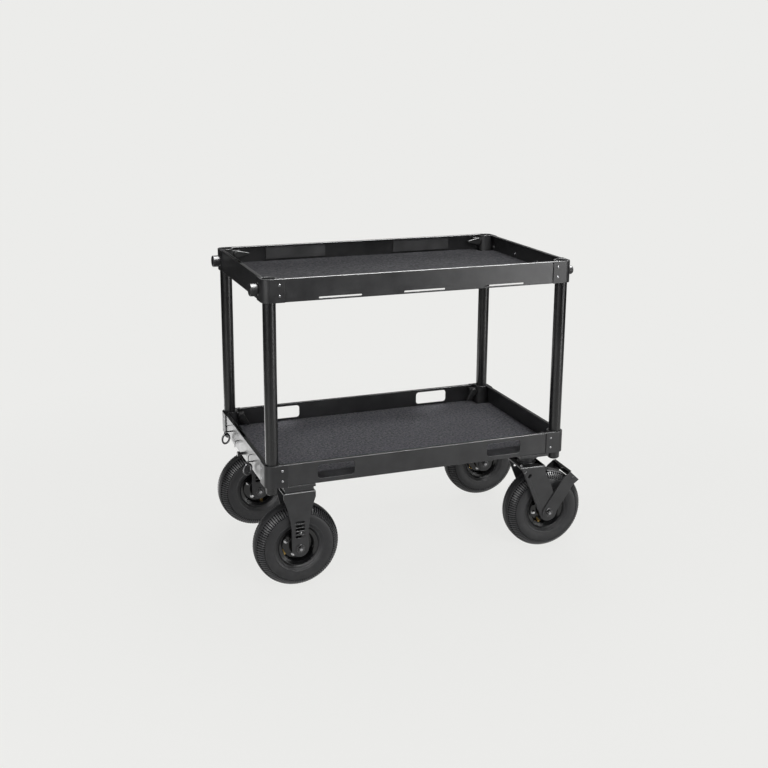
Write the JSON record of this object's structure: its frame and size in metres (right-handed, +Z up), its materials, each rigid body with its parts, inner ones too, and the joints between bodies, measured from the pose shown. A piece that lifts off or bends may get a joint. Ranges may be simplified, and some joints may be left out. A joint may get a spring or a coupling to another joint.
{
  "type": "camera equipment cart",
  "caption": "Tiered equipment cart: sheet-metal trays with carpet on round posts, fixed casters at one end, braked swivel casters at the other, pneumatic tyres.",
  "frame": {"origin": "on the floor under the middle of the cart's extents", "axes": "+X along the cart from the fixed casters to the swivel casters, +Y across it to the back, +Z up"},
  "size_m": [1.0984, 0.6138, 0.948],
  "materials": {
    "tray_paint": "black powder coat on folded aluminium sheet, satin with a fine texture",
    "post_paint": "black anodised tube, satin",
    "caster_paint": "black powder coat on pressed steel, satin",
    "rim_gloss": "gloss black paint on a pressed steel rim",
    "axle_steel": "zinc plated",
    "ring_steel": "dark plated wire",
    "tyre_rubber": "matte rubber with ribbed shoulders",
    "carpet": "short-pile grey carpet",
    "lever_plastic": "black moulded handle"
  },
  "bodies": {
    "base": {"lower_front_plate": "tray_paint", "lower_back_plate": "tray_paint", "lower_left_plate": "tray_paint", "lower_right_plate": "tray_paint", "lower_pan": "tray_paint", "lower_carpet": "carpet", "lower_front_left_block": "tray_paint", "lower_front_right_block": "tray_paint", "lower_back_left_block": "tray_paint", "lower_back_right_block": "tray_paint", "front_left_post": "post_paint", "front_right_post": "post_paint", "back_left_post": "post_paint", "back_right_post": "post_paint", "front_fixed_mount": "caster_paint", "front_fixed_fork": "caster_paint", "front_fixed_axle": "axle_steel", "front_swivel_mount": "caster_paint", "back_fixed_mount": "caster_paint", "back_fixed_fork": "caster_paint", "back_fixed_axle": "axle_steel", "back_swivel_mount": "caster_paint"},
    "upper_tray": {"upper_front_plate": "tray_paint", "upper_back_plate": "tray_paint", "upper_left_plate": "tray_paint", "upper_right_plate": "tray_paint", "upper_pan": "tray_paint", "upper_carpet": "carpet", "upper_left_cover": "tray_paint", "upper_right_cover": "tray_paint", "upper_front_left_block": "tray_paint", "upper_front_right_block": "tray_paint", "upper_back_left_block": "tray_paint", "upper_back_right_block": "tray_paint"},
    "upper_front_left_clamp_lever": {"upper_front_left_lever": "lever_plastic"},
    "upper_front_right_clamp_lever": {"upper_front_right_lever": "lever_plastic"},
    "upper_back_left_clamp_lever": {"upper_back_left_lever": "lever_plastic"},
    "upper_back_right_clamp_lever": {"upper_back_right_lever": "lever_plastic"},
    "lower_front_left_clamp_lever": {"lower_front_left_lever": "lever_plastic"},
    "lower_front_right_clamp_lever": {"lower_front_right_lever": "lever_plastic"},
    "lower_back_left_clamp_lever": {"lower_back_left_lever": "lever_plastic"},
    "lower_back_right_clamp_lever": {"lower_back_right_lever": "lever_plastic"},
    "front_ring": {"front_pull_ring": "ring_steel"},
    "back_ring": {"back_pull_ring": "ring_steel"},
    "front_fixed_wheel": {"front_fixed_rim": "rim_gloss", "front_fixed_tyre": "tyre_rubber"},
    "back_fixed_wheel": {"back_fixed_rim": "rim_gloss", "back_fixed_tyre": "tyre_rubber"},
    "front_swivel": {"front_swivel_fork": "caster_paint", "front_swivel_axle": "axle_steel", "front_brake_arms": "caster_paint"},
    "back_swivel": {"back_swivel_fork": "caster_paint", "back_swivel_axle": "axle_steel", "back_brake_arms": "caster_paint"},
    "front_swivel_wheel": {"front_swivel_rim": "rim_gloss", "front_swivel_tyre": "tyre_rubber"},
    "back_swivel_wheel": {"back_swivel_rim": "rim_gloss", "back_swivel_tyre": "tyre_rubber"},
    "front_pedal": {"front_brake_pedal": "caster_paint"},
    "back_pedal": {"back_brake_pedal": "caster_paint"}
  },
  "joints": [
    {"name": "tier_slide", "type": "slide", "parent": "base", "child": "upper_tray", "axis": [0, 0, 1], "range_m": [-0.44, 0]},
    {"name": "upper_front_left_clamp", "type": "hinge", "parent": "upper_tray", "child": "upper_front_left_clamp_lever", "pos_m": [-0.45413, -0.26697, 0.928], "axis": [0, -1, 0], "range_deg": [0, 75]},
    {"name": "upper_front_right_clamp", "type": "hinge", "parent": "upper_tray", "child": "upper_front_right_clamp_lever", "pos_m": [0.40387, -0.26697, 0.928], "axis": [0, 1, 0], "range_deg": [0, 75]},
    {"name": "upper_back_left_clamp", "type": "hinge", "parent": "upper_tray", "child": "upper_back_left_clamp_lever", "pos_m": [-0.45413, 0.27304, 0.928], "axis": [0, -1, 0], "range_deg": [0, 75]},
    {"name": "upper_back_right_clamp", "type": "hinge", "parent": "upper_tray", "child": "upper_back_right_clamp_lever", "pos_m": [0.40387, 0.27304, 0.928], "axis": [0, 1, 0], "range_deg": [0, 75]},
    {"name": "lower_front_left_clamp", "type": "hinge", "parent": "base", "child": "lower_front_left_clamp_lever", "pos_m": [-0.45413, -0.26697, 0.378], "axis": [0, -1, 0], "range_deg": [0, 75]},
    {"name": "lower_front_right_clamp", "type": "hinge", "parent": "base", "child": "lower_front_right_clamp_lever", "pos_m": [0.40387, -0.26697, 0.378], "axis": [0, 1, 0], "range_deg": [0, 75]},
    {"name": "lower_back_left_clamp", "type": "hinge", "parent": "base", "child": "lower_back_left_clamp_lever", "pos_m": [-0.45413, 0.27304, 0.378], "axis": [0, -1, 0], "range_deg": [0, 75]},
    {"name": "lower_back_right_clamp", "type": "hinge", "parent": "base", "child": "lower_back_right_clamp_lever", "pos_m": [0.40387, 0.27304, 0.378], "axis": [0, 1, 0], "range_deg": [0, 75]},
    {"name": "front_ring_swing", "type": "hinge", "parent": "base", "child": "front_ring", "pos_m": [-0.53268, -0.14397, 0.3602], "axis": [0.848, 0.5299, 0], "range_deg": [0, 60]},
    {"name": "back_ring_swing", "type": "hinge", "parent": "base", "child": "back_ring", "pos_m": [-0.53268, 0.15004, 0.3602], "axis": [0.848, 0.5299, 0], "range_deg": [0, 60]},
    {"name": "front_fixed_spin", "type": "hinge", "parent": "base", "child": "front_fixed_wheel", "pos_m": [-0.41313, -0.23697, 0.13], "axis": [0, 1, 0], "continuous": true},
    {"name": "back_fixed_spin", "type": "hinge", "parent": "base", "child": "back_fixed_wheel", "pos_m": [-0.41313, 0.24304, 0.13], "axis": [0, 1, 0], "continuous": true},
    {"name": "front_swivel_turn", "type": "hinge", "parent": "base", "child": "front_swivel", "pos_m": [0.36087, -0.23397, 0.3], "axis": [0, 0, 1], "continuous": true},
    {"name": "back_swivel_turn", "type": "hinge", "parent": "base", "child": "back_swivel", "pos_m": [0.36087, 0.24003, 0.3], "axis": [0, 0, 1], "continuous": true},
    {"name": "front_swivel_spin", "type": "hinge", "parent": "front_swivel", "child": "front_swivel_wheel", "pos_m": [0.41879, -0.237, 0.13], "axis": [0.0523, 0.9986, 0], "continuous": true},
    {"name": "back_swivel_spin", "type": "hinge", "parent": "back_swivel", "child": "back_swivel_wheel", "pos_m": [0.41879, 0.237, 0.13], "axis": [0.0523, 0.9986, 0], "continuous": true},
    {"name": "front_brake_rock", "type": "hinge", "parent": "front_swivel", "child": "front_pedal", "pos_m": [0.49939, -0.24122, 0.23947], "axis": [0.0523, 0.9986, 0], "range_deg": [0, 5]},
    {"name": "back_brake_rock", "type": "hinge", "parent": "back_swivel", "child": "back_pedal", "pos_m": [0.49939, 0.23278, 0.23947], "axis": [0.0523, 0.9986, 0], "range_deg": [0, 5]}
  ]
}
